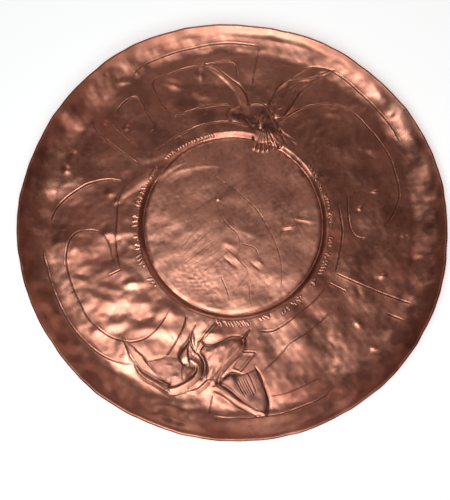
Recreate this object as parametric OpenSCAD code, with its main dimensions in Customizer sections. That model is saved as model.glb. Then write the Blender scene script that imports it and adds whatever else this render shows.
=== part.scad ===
// Hammered copper tray: one raised sheet, its edge rolled over a round stiffening wire.
// The tray lies face up on its flat middle, +Z up, with the origin on the table under its centre.

/* [Tray] */
// Outside diameter over the rolled edge
tray_d = 430; // [380:5:520]
// Height from the table to the top of the rolled edge
tray_h = 18; // [15:0.5:24]
// Thickness of the hammered sheet
sheet_t = 0.9; // [0.7:0.1:1.2]

/* [Well] */
// Diameter of the flat middle, inside the chased ring
medallion_d = 178; // [140:1:220]
// How far the flange stands above the middle
well_depth = 3.6; // [2:0.2:6]
// Width of the sloping wall between the middle and the flange
wall_w = 6.5; // [5:0.5:10]

/* [Flange] */
// Rise of the flange from the wall out to the rim
flange_rise = 1.6; // [0.5:0.1:3]
// Width of the turned-up rim band
rim_w = 34; // [28:1:44]
// Slope of the rim where it meets the rolled edge, in degrees
rim_angle = 33; // [28:1:38]

/* [Rolled edge] */
// Diameter of the wire inside the edge
wire_d = 1.6; // [1.2:0.1:2.4]
// Gap all round the wire
wire_gap = 0.03; // [0.02:0.01:0.08]
// How far the sheet turns round the wire, in degrees
roll_turn = 262; // [200:2:266]

/* [Hidden] */
$fn = 180;

copper = "#a5624c";
dark_copper = "#7d4636";

medallion_r = medallion_d / 2;
wall_r = medallion_r + wall_w;
rim_r = tray_d / 2 - rim_w;

// heights of the middle of the sheet's thickness
medallion_z = sheet_t / 2;
flange_z = medallion_z + well_depth;
rim_z = flange_z + flange_rise;
flange_slope = flange_rise / (rim_r - wall_r);

// the roll: its centre, and the middle of the sheet round it
roll_r = wire_d / 2 + wire_gap + sheet_t / 2;
bead_r = roll_r + sheet_t / 2;
wire_x = tray_d / 2 - bead_r;
wire_z = tray_h - bead_r;
roll_start = 90 + rim_angle;

// where the rim meets the roll, and the corner that the two slopes of the rim make
lip = [wire_x, wire_z] + roll_r * [cos(roll_start), sin(roll_start)];
bend_x = (lip[1] - rim_z - tan(rim_angle) * lip[0] + flange_slope * rim_r)
    / (flange_slope - tan(rim_angle));
bend = [bend_x, rim_z + flange_slope * (bend_x - rim_r)];

wall_steps = 8;
rim_steps = 10;
roll_steps = 22;

function ease(u) = u * u * (3 - 2 * u);
function curve(a, b, c, u) = (1 - u) * (1 - u) * a + 2 * u * (1 - u) * b + u * u * c;

// the middle line of the sheet, from the tray's centre out to the end of the roll
wall_line = [for (i = [0:wall_steps]) let (u = i / wall_steps)
    [medallion_r + wall_w * u, medallion_z + well_depth * ease(u)]];
rim_line = [for (i = [0:rim_steps - 1]) curve([rim_r, rim_z], bend, lip, i / rim_steps)];
roll_line = [for (i = [0:roll_steps]) let (a = roll_start - roll_turn * i / roll_steps)
    [wire_x, wire_z] + roll_r * [cos(a), sin(a)]];
middle_line = concat([[0, medallion_z]], wall_line, rim_line, roll_line);

// the same line moved sideways by a distance, up for a positive one
function side(a, b) = let (d = b - a) [-d[1], d[0]] / norm(d);
function turned(p, i) = i == 0 ? side(p[0], p[1])
    : i == len(p) - 1 ? side(p[i - 1], p[i])
    : let (s = side(p[i - 1], p[i]) + side(p[i], p[i + 1])) 2 * s / (s * s);
function beside(p, by) = [for (i = [0:len(p) - 1]) p[i] + by * turned(p, i)];
function backwards(p) = [for (i = [len(p) - 1:-1:0]) p[i]];

module hammered_sheet()
    color(copper)
        rotate_extrude()
            polygon(concat(
                beside(middle_line, -sheet_t / 2),
                backwards(beside(middle_line, sheet_t / 2))
            ));

module edge_wire()
    color(dark_copper)
        rotate_extrude()
            translate([wire_x, wire_z])
                circle(d = wire_d, $fn = 48);

hammered_sheet();
edge_wire();
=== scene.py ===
import math
import bpy
import numpy as np
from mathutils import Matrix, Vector


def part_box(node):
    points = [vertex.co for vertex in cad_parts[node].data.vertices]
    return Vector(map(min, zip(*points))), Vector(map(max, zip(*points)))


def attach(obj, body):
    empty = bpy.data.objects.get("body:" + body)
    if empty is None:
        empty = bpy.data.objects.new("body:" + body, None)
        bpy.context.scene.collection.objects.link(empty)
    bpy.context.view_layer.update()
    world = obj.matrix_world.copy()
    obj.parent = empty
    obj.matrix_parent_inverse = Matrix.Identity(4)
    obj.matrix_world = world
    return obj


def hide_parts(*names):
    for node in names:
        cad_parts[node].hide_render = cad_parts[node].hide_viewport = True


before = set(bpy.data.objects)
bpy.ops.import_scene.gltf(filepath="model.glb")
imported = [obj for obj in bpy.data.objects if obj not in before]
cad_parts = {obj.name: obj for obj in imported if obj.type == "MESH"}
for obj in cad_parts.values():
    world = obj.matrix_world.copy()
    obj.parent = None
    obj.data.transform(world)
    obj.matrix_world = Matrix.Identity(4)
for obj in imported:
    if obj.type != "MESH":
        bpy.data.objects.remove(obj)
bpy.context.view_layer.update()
print("frame loaded, nodes:", sorted(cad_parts))

mm = 0.001
sheetLow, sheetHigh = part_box("hammered_sheet")
wireLow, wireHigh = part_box("edge_wire")
trayRadius = (sheetHigh.x - sheetLow.x) / 2 / mm
trayHeight = sheetHigh.z / mm
wireThickness = (wireHigh.z - wireLow.z) / mm

# shape of the sheet in mm, the same middle line as the CAD sheet
sheet = {
    "thickness": 0.9,
    "ringRadius": 89.0,     # foot of the well's wall
    "shoulderWidth": 4.2,   # rounded edge of the middle, inside the ring
    "shoulderDrop": 0.55,
    "wallWidth": 6.3,
    "wellDepth": 3.4,
    "flangeRise": 1.6,
    "rimWidth": 34.0,
    "rimAngle": 33.0,
    "rollTurn": 262.0,
    "wireGap": 0.03,
    "ringStep": 0.7,        # distance between rings of points
    "ringPoints": 1536,     # points round the rim
    "underCoarser": 2,      # the underside has this many times fewer rings
    "reliefEnd": 12.0,      # how far from the edge the relief starts to fade
    "reliefFade": 8.0,
    "lowestTop": 0.32,      # the upper face never sinks below this
}

# how far the hand-made outlines stray from true circles
strays = {
    "ringCentre": (-1.4, 1.6),
    "ringScale": (1.007, 1.022),
    "edgeScale": (1.0, 0.983),
    # waves: how many round the tray, size in mm, phase
    "edgeWaves": ((5, 0.35, 4.0), (8, 0.3, 1.2), (13, 0.25, 5.1),
                  (31, 0.16, 0.7), (47, 0.12, 2.9), (73, 0.08, 4.4)),
    # flats and swells of the outline: turn and half-width in degrees, mm outward
    "edgeSwells": ((2, 20, -3.4), (45, 18, -3.6), (88, 14, -2.4),
                   (122, 14, 1.2), (240, 16, 1.0), (293, 22, 2.6)),
    "warpStart": 100, "warpRun": 105,
    "liftWaves": ((2, 0.5, 1.9), (3, 0.35, 0.3), (7, 0.25, 3.3), (17, 0.12, 2.2)),
    "liftStart": 110, "liftRun": 100,
}


def ease(u):
    u = np.clip(u, 0, 1)
    return u * u * (3 - 2 * u)


def smoothPath(points, step=2.0, closed=False):
    # Catmull-Rom through the points, cut into even short steps
    p = np.array(points, float)
    if len(p) < 3:
        count = max(2, int(np.hypot(*(p[1] - p[0])) / step) + 1)
        return p[0] + (p[1] - p[0]) * np.linspace(0, 1, count)[:, None]
    if closed:
        q = np.vstack([p[-1], p, p[0], p[1]])
    else:
        q = np.vstack([2 * p[0] - p[1], p, 2 * p[-1] - p[-2]])
    out = []
    for a, b, c, d in zip(q[:-3], q[1:-2], q[2:-1], q[3:]):
        count = max(1, int(math.ceil(np.hypot(*(c - b)) / step)))
        t = np.arange(count)[:, None] / count
        square, cube = 2 * a - 5 * b + 4 * c - d, 3 * b - a - 3 * c + d
        out.append(0.5 * (2 * b + (c - a) * t + square * t**2 + cube * t**3))
    out.append(q[-2][None])
    return np.vstack(out)


def distanceAlong(x, y, path):
    # distance to a path, how far along it the nearest point is (0 to 1), and which side (1 is left)
    runs = path[1:] - path[:-1]
    lengths = np.maximum(np.hypot(runs[:, 0], runs[:, 1]), 1e-9)
    starts = np.concatenate([[0], np.cumsum(lengths)])
    best = np.full(len(x), 1e12)
    along = np.zeros(len(x))
    left = np.ones(len(x))
    for a, run, length, start in zip(path[:-1], runs, lengths, starts):
        dx, dy = x - a[0], y - a[1]
        t = np.clip((dx * run[0] + dy * run[1]) / length**2, 0, 1)
        d = (dx - t * run[0]) ** 2 + (dy - t * run[1]) ** 2
        closer = d < best
        best[closer] = d[closer]
        along[closer] = start + t[closer] * length
        left[closer] = np.where(run[0] * dy[closer] > run[1] * dx[closer], 1.0, -1.0)
    return np.sqrt(best), along / starts[-1], left


def isInside(x, y, outline):
    inside = np.zeros(len(x), bool)
    for (ax, ay), (bx, by) in zip(outline[:-1], outline[1:]):
        crosses = (ay > y) != (by > y)
        if ay != by:
            inside ^= crosses & (x < (bx - ax) * (y - ay) / (by - ay) + ax)
    return inside


def softWaves(x, y, wavelength, seed, stretch=1.0, turn=0.0, count=34):
    # smooth random ups and downs with a mean square of 1; stretch lengthens them along the turned x
    draw = np.random.default_rng(seed)
    c, s = math.cos(math.radians(turn)), math.sin(math.radians(turn))
    u, v = (x * c + y * s) / stretch, y * c - x * s
    total = np.zeros_like(x)
    for _ in range(count):
        angle, k = draw.uniform(0, 2 * math.pi), 2 * math.pi / (wavelength * draw.uniform(0.65, 1.6))
        total += np.sin(k * (math.cos(angle) * u + math.sin(angle) * v) + draw.uniform(0, 2 * math.pi))
    return total * math.sqrt(2 / count)


class Relief:
    # what the hammer and the chasing tools do to the sheet, as heights in mm at every point of it
    cell = 8.0

    def __init__(self, x, y, softness):
        self.x, self.y, self.softness = x, y, softness
        self.boldness = 1.0     # how strongly the next shapes stand out
        self.height = np.zeros_like(x)
        self.tarnishAndShade = np.zeros_like(x)
        self.rubbed = np.zeros_like(x)
        keys = self.cellKeys(np.floor(x / self.cell), np.floor(y / self.cell))
        self.order = np.argsort(keys, kind="stable")
        self.sortedKeys = keys[self.order]

    def cellKeys(self, column, row):
        return (column.astype(int) + 500) * 1000 + row.astype(int) + 500

    def near(self, path, reach):
        span = int(math.ceil(reach / self.cell))
        column, row = np.floor(path[:, 0] / self.cell), np.floor(path[:, 1] / self.cell)
        steps = range(-span, span + 1)
        around = [self.cellKeys(column + i, row + j) for i in steps for j in steps]
        keys = np.unique(np.concatenate(around))
        low = np.searchsorted(self.sortedKeys, keys, "left")
        high = np.searchsorted(self.sortedKeys, keys, "right")
        return np.concatenate([self.order[a:b] for a, b in zip(low, high)] or [np.zeros(0, int)])

    def chase(self, points, width=1.1, depth=0.3, fade=0.08, smooth=True, lip=0.3, dark=0.7):
        # a line struck with a liner: a narrow valley with the metal pushed up along both sides
        path = smoothPath(points) if smooth else np.array(points, float)
        at = self.near(path, 3 * width + 2)
        d, along, _ = distanceAlong(self.x[at], self.y[at], path)
        wide = np.sqrt((width / 2) ** 2 + self.softness[at] ** 2)
        ends = ease(along / fade) * ease((1 - along) / fade) if fade else 1.0
        sink = depth * ends * (width / 2) / wide
        self.height[at] -= sink * np.exp(-((d / wide) ** 2))
        self.height[at] += sink * lip * np.exp(-(((d - 2.2 * wide) / (1.1 * wide)) ** 2))
        self.darkenPatinaAndShade(at, dark * ends * np.exp(-((d / (1.1 * wide)) ** 2)))

    def darkenPatinaAndShade(self, at, amount):
        # darkens the colour: patina in hollows and painted shade
        self.tarnishAndShade[at] = np.maximum(self.tarnishAndShade[at], amount)

    def valley(self, points, widths, depths, dark=0.8, smooth=True):
        # a wide rounded hollow whose half-width and depth change along it, darker at its bottom with patina
        # and painted shade
        path = smoothPath(points) if smooth else np.array(points, float)
        at = self.near(path, 2.2 * max(widths) + 2)
        d, along, _ = distanceAlong(self.x[at], self.y[at], path)
        wide = np.interp(along, np.linspace(0, 1, len(widths)), widths) + 0.6 * self.softness[at]
        deep = np.interp(along, np.linspace(0, 1, len(depths)), depths)
        shape = np.exp(-((d / wide) ** 2))
        self.height[at] -= self.boldness * deep * shape
        self.darkenPatinaAndShade(at, dark * np.minimum(deep * 1.6, 1) * shape**1.4)

    def ridge(self, points, widths, heights, smooth=True, sharp=2.0, lean=0.0, facet=False):
        # a raised rib whose half-width and height change along it; lean widens its left slope,
        # and a facet has straight slopes
        path = smoothPath(points) if smooth else np.array(points, float)
        at = self.near(path, max(widths) * (1 + abs(lean)) + 2)
        d, along, left = distanceAlong(self.x[at], self.y[at], path)
        stops = np.linspace(0, 1, len(widths))
        wide = np.interp(along, stops, widths) * (1 + lean * left) + 0.6 * self.softness[at]
        tall = np.interp(along, np.linspace(0, 1, len(heights)), heights)
        out = np.minimum(d / wide, 1)
        shape = (1 - np.sqrt(0.97 * out**2 + 0.03)) / 0.827 if facet else (1 - out**2) ** sharp
        self.height[at] += self.boldness * tall * shape
        self.rubbed[at] = np.maximum(self.rubbed[at], np.minimum(tall, 1) * ease(2 * shape))

    def raised(self, points, height, ramp, crown=0.0, crownWidth=8.0, smooth=True, follow=None, dark=0.0):
        # a shape pushed up from behind: a soft step at its outline, and a dome inside it; dark paints shade
        # over the whole shape
        outline = np.array(list(points) + [points[0]], float)
        if smooth:
            outline = smoothPath(points, closed=True)
        reach = 4.0
        low, high = outline.min(0) - reach, outline.max(0) + reach
        withinX, withinY = (self.x > low[0]) & (self.x < high[0]), (self.y > low[1]) & (self.y < high[1])
        at = np.flatnonzero(withinX & withinY)
        d, _, _ = distanceAlong(self.x[at], self.y[at], outline)
        inside = isInside(self.x[at], self.y[at], outline)
        signed = np.where(inside, d, -d)
        step = ease(signed / ramp)
        dome = 1 - (1 - np.clip(signed / crownWidth, 0, 1)) ** 2
        self.height[at] += self.boldness * (height * step + crown * dome)
        if follow is not None:
            self.height[at] += follow[at] * step
        # painted shade: darkens the whole raised shape
        if dark:
            self.darkenPatinaAndShade(at, dark * step)

    def bump(self, x, y, across, along, turn, height):
        c, s = math.cos(math.radians(turn)), math.sin(math.radians(turn))
        reach = 3 * max(across, along)
        at = np.flatnonzero((abs(self.x - x) < reach) & (abs(self.y - y) < reach))
        dx, dy = self.x[at] - x, self.y[at] - y
        u, v = (dx * c + dy * s) / across, (dy * c - dx * s) / along
        self.height[at] += self.boldness * height * np.exp(-(u * u + v * v))


def sheetProfile():
    # the middle line of the sheet, from the centre out and round the wire
    beadRadius = wireThickness / 2 + sheet["wireGap"] + sheet["thickness"]
    rollRadius = beadRadius - sheet["thickness"] / 2
    wireX, wireZ = trayRadius - beadRadius, trayHeight - beadRadius
    rimStart = trayRadius - sheet["rimWidth"]
    middleZ = sheet["thickness"] / 2
    ring, wallEnd = sheet["ringRadius"], sheet["ringRadius"] + sheet["wallWidth"]
    shoulder = ring - sheet["shoulderWidth"]
    flangeZ = middleZ + sheet["wellDepth"]
    rimZ = flangeZ + sheet["flangeRise"]
    slope = sheet["flangeRise"] / (rimStart - wallEnd)
    steep = math.tan(math.radians(sheet["rimAngle"]))
    start = math.radians(90 + sheet["rimAngle"])
    lip = np.array([wireX + rollRadius * math.cos(start), wireZ + rollRadius * math.sin(start)])
    bendX = (lip[1] - rimZ - steep * lip[0] + slope * rimStart) / (slope - steep)
    bend = np.array([bendX, rimZ + slope * (bendX - rimStart)])

    def flat(r):
        drop = sheet["shoulderDrop"] * ease((r - shoulder) / sheet["shoulderWidth"])
        climb = np.clip((r - ring) / sheet["wallWidth"], 0, 1)
        rise = (sheet["wellDepth"] + sheet["shoulderDrop"]) * (1 - (1 - climb) ** 1.6)
        return middleZ - drop + rise + slope * np.maximum(r - wallEnd, 0)

    step = sheet["ringStep"]
    r = np.arange(0, rimStart, step)
    points = list(zip(r, flat(r)))
    u = np.linspace(0, 1, int(40 / step))
    rimLine = np.outer((1 - u) ** 2, [rimStart, rimZ]) + np.outer(2 * (u * (1 - u)), bend)
    rimLine += np.outer(u**2, lip)
    points += [tuple(p) for p in rimLine]
    lipIndex = len(points) - 1
    turns = start - np.radians(np.linspace(0, sheet["rollTurn"], 23))[1:]
    points += [(wireX + rollRadius * math.cos(a), wireZ + rollRadius * math.sin(a)) for a in turns]
    line = np.array(points)
    ahead = np.gradient(line, axis=0)
    ahead /= np.hypot(ahead[:, 0], ahead[:, 1])[:, None]
    normal = np.stack([-ahead[:, 1], ahead[:, 0]], 1)
    return line, normal, lipIndex, (wireX, wireZ)


def ringCount(radius, most):
    count = most
    while count > 24 and radius < 100 * count / most:
        count //= 2
    return count


def handWarp(radius, angle):
    # moves a point of the true round tray to where the hand-made one has it
    toEdge = ease((radius - strays["warpStart"]) / strays["warpRun"])
    cx, cy = (c * (1 - toEdge) for c in strays["ringCentre"])
    sx, sy = (a + (b - a) * toEdge for a, b in zip(strays["ringScale"], strays["edgeScale"]))
    wander = sum(size * np.sin(n * angle + phase) for n, size, phase in strays["edgeWaves"]) * toEdge
    for turn, wide, swell in strays["edgeSwells"]:
        off = (np.degrees(angle) - turn + 180) % 360 - 180
        wander = wander + swell * np.exp(-((off / wide) ** 2)) * toEdge
    out = radius + wander
    return out * np.cos(angle) * sx + cx, out * np.sin(angle) * sy + cy


def edgeLift(radius, angle):
    waves = sum(size * np.sin(n * angle + phase) for n, size, phase in strays["liftWaves"])
    return waves * ease((radius - strays["liftStart"]) / strays["liftRun"])


print("profile of the sheet")
line, normal, lipIndex, wireCentre = sheetProfile()
half = sheet["thickness"] / 2
lastIndex = len(line) - 1

# every ring of the closed skin: (profile point, side of the sheet, points in the ring)
rings = [(i, 1, ringCount(line[i, 0], sheet["ringPoints"])) for i in range(1, lastIndex + 1)]
rings += [(lastIndex, 0, sheet["ringPoints"])]
rings += [(i, -1, sheet["ringPoints"] // 2) for i in range(lastIndex, lipIndex, -1)]
underside = range(lipIndex, 1, -sheet["underCoarser"])
rings += [(i, -1, ringCount(line[i, 0], sheet["ringPoints"] // 2)) for i in underside]

starts, radius, angle, side, station = [], [], [], [], []
total = 1
for index, which, count in rings:
    starts.append(total)
    total += count
    station.append(np.full(count, index))
    side.append(np.full(count, which))
    angle.append(np.arange(count) * 2 * math.pi / count)
station = np.concatenate([[0], *station, [0]])
side = np.concatenate([[1], *side, [-1]]).astype(float)
angle = np.concatenate([[0], *angle, [0]]).astype(float)
total += 1
radius = line[station, 0]
onRoll = station > lipIndex
x, y = handWarp(radius, angle)
print("points in the sheet:", total)

relief = Relief(x, y, np.where(side > 0, 0.0, 1.3))
fadeOut = 1 - ease((radius - (trayRadius - sheet["reliefEnd"])) / sheet["reliefFade"])

# broad unevenness from raising and planishing: wavelength, amount, seed
unevenness = {
    "broad": (54.0, 0.30, 11),
    "middle": (25.0, 0.11, 12),
    "planishing": (9.0, 0.032, 13),
}
for wavelength, amount, seed in unevenness.values():
    outward = 0.35 + 0.65 * ease((radius - 30) / 80)
    relief.height += amount * softWaves(x, y, wavelength, seed) * outward

# the middle lies higher towards its right and its top, so the wall is lower there (mm)
inMiddle = 1 - ease((radius - sheet["ringRadius"] + 1) / 3)
middle = {"lowerRight": 0.7, "dome": 0.5, "domeWidth": 60, "upperRight": 1.7, "rightEdge": 0.5}
towardsRight = 0.85 * x - 0.5 * y
middleLean = middle["lowerRight"] * ease((towardsRight + 50) / 150)
middleLean += middle["dome"] * np.exp(-((x - 6) ** 2 + (y - 14) ** 2) / middle["domeWidth"] ** 2)
middleLean += middle["upperRight"] * ease((0.5 * x + 0.85 * y + 90) / 85)
middleLean += middle["rightEdge"] * ease((radius - 66) / 24) * ease((towardsRight + 10) / 60)
relief.height += inMiddle * middleLean
middleWaves = 0.16 * softWaves(x, y, 40, 14) + 0.05 * softWaves(x, y, 15, 15, 1.3, 40)
middleWaves += 0.012 * softWaves(x, y, 5, 16)
relief.height += inMiddle * middleWaves

# the rim's own ripples
relief.height += 0.09 * softWaves(x, y, 21, 17, 1.2, 0) * ease((radius - 178) / 12)

# the rim bends up more slowly along the top, and the top of the flange is painted lighter there: painted
# light, carried by the rubbed mask
topBend = {
    "turn": 85, "halfWidth": 42, "rise": 2.7,   # degrees, degrees, mm
    "start": 142, "run": 42, "backStart": 190, "backRun": 24,
    "lightWidth": 36, "lightStart": 135, "lightRun": 30, "rub": 0.6,
}
fromTop = (np.degrees(angle) - topBend["turn"] + 180) % 360 - 180
bend = ease((radius - topBend["start"]) / topBend["run"])
bend *= 1 - ease((radius - topBend["backStart"]) / topBend["backRun"])
relief.height += topBend["rise"] * np.exp(-((fromTop / topBend["halfWidth"]) ** 2)) * bend
paintedLightTop = topBend["rub"] * np.exp(-((fromTop / topBend["lightWidth"]) ** 2))
relief.rubbed += paintedLightTop * ease((radius - topBend["lightStart"]) / topBend["lightRun"]) * (side > 0)

# patches where the sheet is crumpled: (x, y, reach across, reach up, wavelength, stretch, turn,
# amount, seed)
crumples = [
    (-126, -60, 44, 56, 30.0, 1.5, 10, 0.16, 21),
    (-120, -62, 42, 52, 12.0, 1.3, -8, 0.035, 22),
    (-84, -92, 32, 24, 20.0, 1.4, 14, 0.08, 28),
    (86, -96, 46, 34, 19.0, 1.4, 30, 0.10, 23),
    (128, 30, 50, 60, 22.0, 1.2, 70, 0.06, 24),
    (-6, -10, 76, 76, 13.0, 1.4, 35, 0.04, 25),
    (-130, 118, 58, 60, 30.0, 1.2, 30, 0.14, 26),
    (-50, 52, 30, 12, 10.0, 3.0, 24, 0.06, 27),
    (-34, -55, 20, 15, 5.0, 1.2, 0, 0.055, 29),
]
for cx, cy, reachX, reachY, wavelength, stretch, turn, amount, seed in crumples:
    window = np.exp(-(((x - cx) / reachX) ** 2) - ((y - cy) / reachY) ** 2)
    relief.height += amount * window * softWaves(x, y, wavelength, seed, stretch, turn)

# dents and knocks: (x, y, half-width, half-length, turn, height)
knocks = [
    (-114, 97, 4.0, 3.2, 20, 0.9), (-136, 101, 3.0, 2.2, 0, 0.45), (-117, 146, 8.0, 3.4, 10, 0.7),
    (-68, 145, 9.0, 4.4, -18, 1.1), (-41, 157, 3.6, 6.0, 15, 1.0), (-172, 50, 4.6, 4.6, 0, 1.1),
    (-166, 66, 4.0, 3.0, 0, 0.4), (126, 23, 2.4, 2.2, 0, 0.7), (140, 41, 4.0, 1.6, 0, 0.4),
    (95, 123, 9.0, 5.0, -5, 0.8), (150, -45, 3.2, 2.4, 20, 0.9), (141, -48, 3.0, 3.4, 0, -0.4),
    (142, -117, 2.8, 2.4, 0, 0.6), (112, 58, 3.0, 3.0, 0, -0.3), (167, -6, 3.0, 2.6, 0, -0.5),
    (172, -4, 2.0, 2.4, 0, -0.35), (133, 78, 9.0, 4.0, -30, -0.5), (-17, 27, 2.0, 1.6, 0, 0.7),
    (51, -3, 4.0, 2.4, 20, -0.8), (58, 2, 7.0, 2.2, 14, 0.6), (70, 9, 9.0, 1.8, -8, 0.5),
    (-1, -38, 6.0, 1.5, -38, -0.7), (3, -33, 6.0, 2.0, -38, 0.5), (23, -40, 5.0, 1.5, -38, -0.5),
    (27, -36, 4.0, 1.8, -38, 0.5), (-4, -19, 8.0, 3.4, -20, 0.6), (14, -6, 10.0, 3.4, -24, 0.4),
    # bulges below the lower bird and along the bottom
    (0, -172, 13.0, 5.0, -28, 1.5), (-60, -178, 16.0, 4.0, 10, 0.5), (-33, -179, 14.0, 4.0, 2, 0.4),
    (106, -138, 5.0, 3.0, 30, 0.45), (126, -93, 4.0, 3.0, -40, 0.5), (126, -61, 3.0, 7.0, 20, -0.4),
    (58, -118, 12.0, 6.0, 40, 0.5), (70, -138, 14.0, 5.0, 30, 0.5), (36, -128, 8.0, 8.0, 0, 0.6),
]
# the crumpled lower left, ridges then hollows
crumpledKnocks = [
    (-98, -63, 9.0, 4.4, 16, 1.5), (-115, -70, 9.0, 4.0, -14, 0.6), (-152, -14, 8.0, 4.2, 10, 0.9),
    (-124, -14, 8.0, 4.4, -8, 1.1), (-107, -12, 8.0, 4.4, 14, 0.7), (-103, -24, 6.0, 3.4, -24, 0.5),
    (-174, -26, 9.0, 4.0, 8, 0.6), (-160, -31, 6.0, 4.2, 30, 0.6), (-150, -62, 8.0, 4.0, -24, 0.5),
    (-121, -83, 9.0, 4.2, -16, 0.9), (-140, -75, 7.0, 4.2, -34, 0.7), (-131, -112, 6.0, 4.4, 26, 1.0),
    (-108, -104, 14.0, 7.0, 6, 1.1), (-86, -82, 9.0, 6.0, 14, 0.8), (-71, -92, 6.0, 5.0, 30, 0.6),
    (-92, -111, 11.0, 5.4, 12, 0.9), (-60, -88, 11.0, 8.0, -40, 2.0), (-76, -107, 12.0, 6.0, -8, 1.4),
    (-54, -108, 8.0, 7.0, 0, 0.7), (-119, -95, 9.0, 4.4, -26, -0.5), (-92, -99, 8.0, 4.2, -20, -0.4),
    (-136, -90, 7.0, 4.0, 34, -0.5), (-108, -44, 11.0, 6.0, -24, -0.5), (-138, -40, 11.0, 6.0, 14, -0.5),
    (-79, -96, 5.0, 3.0, 14, -0.5), (-126, 28, 5.0, 3.2, 10, 0.8), (-118, 20, 4.0, 2.6, 30, 0.8),
    (-160, -94, 8.0, 5.0, -40, 0.5), (-148, -48, 7.0, 4.0, 20, 0.4), (-130, -54, 9.0, 4.0, 24, 0.4),
]
for knock in knocks:
    relief.bump(*knock)
relief.boldness = 0.72
for knock in crumpledKnocks:
    relief.bump(*knock)
relief.boldness = 1.0

# small random knocks all over
tinyKnocks = np.random.default_rng(41)
for _ in range(170):
    reach, turn = 205 * math.sqrt(tinyKnocks.uniform(0, 1)), tinyKnocks.uniform(0, 2 * math.pi)
    wide = tinyKnocks.uniform(1.6, 4.0)
    long = wide * tinyKnocks.uniform(0.6, 1.0)
    tall = tinyKnocks.choice([-1, 1, 1]) * tinyKnocks.uniform(0.05, 0.20)
    relief.bump(reach * math.cos(turn), reach * math.sin(turn), wide, long, math.degrees(turn), tall)

chase, valley, ridge, raised, bump = relief.chase, relief.valley, relief.ridge, relief.raised, relief.bump

# the long fold that runs into the ring at its upper left
ridge([(-116, 24), (-104, 35), (-92, 44), (-80, 50), (-70, 55), (-58, 62), (-46, 68)], [4, 8, 8, 4, 2],
    [0.3, 1.0, 1.1, 0.4, 0.1])
valley([(-112, 44), (-100, 52), (-88, 59), (-74, 65), (-60, 76)], [5, 7, 5, 3], [0.3, 0.8, 0.7, 0.2],
    dark=0.0)
ridge([(-74, 45), (-62, 53), (-50, 58), (-34, 62), (-20, 62)], [3, 4, 4, 3], [0.1, 0.35, 0.35, 0.1])
valley([(-68, 40), (-52, 49), (-36, 55), (-16, 58)], [3, 4, 4, 3], [0.1, 0.35, 0.35, 0.1], dark=0.0)

# crimps where the rim was gathered: (turn, half-width in degrees, height, how far in they reach)
crimps = [
    (-6, 1.2, -0.7, 26), (12, 1.8, 0.6, 18), (16, 1.6, -0.6, 20), (22, 2.0, 0.5, 22), (27, 2.2, -0.4, 18),
    (34, 2.4, 0.4, 20), (43, 2.6, -0.5, 26), (49, 2.6, 0.5, 22), (57, 2.2, -0.4, 20), (61, 2.0, 0.5, 18),
    (70, 3.0, 0.3, 16), (104, 3.0, 0.4, 18), (121, 2.4, 0.5, 16), (127, 2.2, -0.5, 20), (133, 2.4, 0.5, 18),
    (141, 2.2, -0.4, 22), (149, 2.6, 0.5, 20), (158, 2.4, -0.5, 18), (165, 2.4, 0.5, 24),
    (172, 2.6, -0.4, 20), (196, 3.0, 0.4, 18), (214, 2.4, -0.4, 22), (223, 2.2, 0.4, 22),
    (231, 2.0, -0.6, 22), (238, 2.2, 0.5, 20), (246, 2.0, -0.7, 18), (253, 2.4, 0.5, 16),
    (259, 2.0, -0.6, 18), (266, 2.6, 0.4, 16), (283, 2.2, 0.5, 14), (292, 2.6, -0.4, 18),
    (301, 2.4, 0.4, 20), (318, 2.6, -0.5, 20), (329, 2.2, 0.5, 22), (337, 2.4, -0.4, 20),
]
degrees = np.degrees(angle)
for turn, wide, tall, reach in crimps:
    off = (degrees - turn + 180) % 360 - 180
    inward = ease((radius - (trayRadius - reach - 8)) / reach)
    softer = 0.30 if 110 < turn < 180 else 0.55     # gentler at the upper left
    relief.height += tall * softer * np.exp(-((off / wide) ** 2)) * inward

# patches of painted shade on the rim and the lower flange: (turn, half-width in degrees, radius, strength)
paintedShadePatches = [
    (283, 12, 140, 0.5), (292, 14, 158, 0.5), (296, 12, 172, 0.45), (200, 14, 202, 0.4),
    (222, 12, 204, 0.7), (240, 9, 205, 0.5), (256, 8, 204, 0.5), (-50, 20, 197, 0.50), (-20, 20, 197, 0.6),
    (8, 18, 197, 0.7), (29, 12, 195, 0.75), (160, 20, 200, 0.25), (140, 10, 200, 0.2),
]
cloud = np.clip(0.6 + 0.5 * softWaves(x, y, 16, 18), 0, 1.2)
for turn, wide, at, strength in paintedShadePatches:
    off = (degrees - turn + 180) % 360 - 180
    relief.tarnishAndShade += 0.75 * strength * cloud * np.exp(-((off / wide) ** 2) - ((radius - at) / 9) ** 2)

# broad darker clouds on the flange, kept off the lower left, which stays clean as painted light where the
# light falls
darker = np.clip(0.08 + 0.16 * softWaves(x, y, 38, 31) + 0.06 * softWaves(x, y, 12, 32), 0, 0.4)
litLowerLeft = np.exp(-(((x + 90) / 80) ** 2) - ((y + 90) / 70) ** 2)
relief.tarnishAndShade += (1 - inMiddle) * darker * (1 - relief.rubbed) * (1 - 0.9 * litLowerLeft) * (side > 0)
relief.tarnishAndShade = np.minimum(relief.tarnishAndShade, 0.5)     # never black, however many clouds meet

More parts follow.
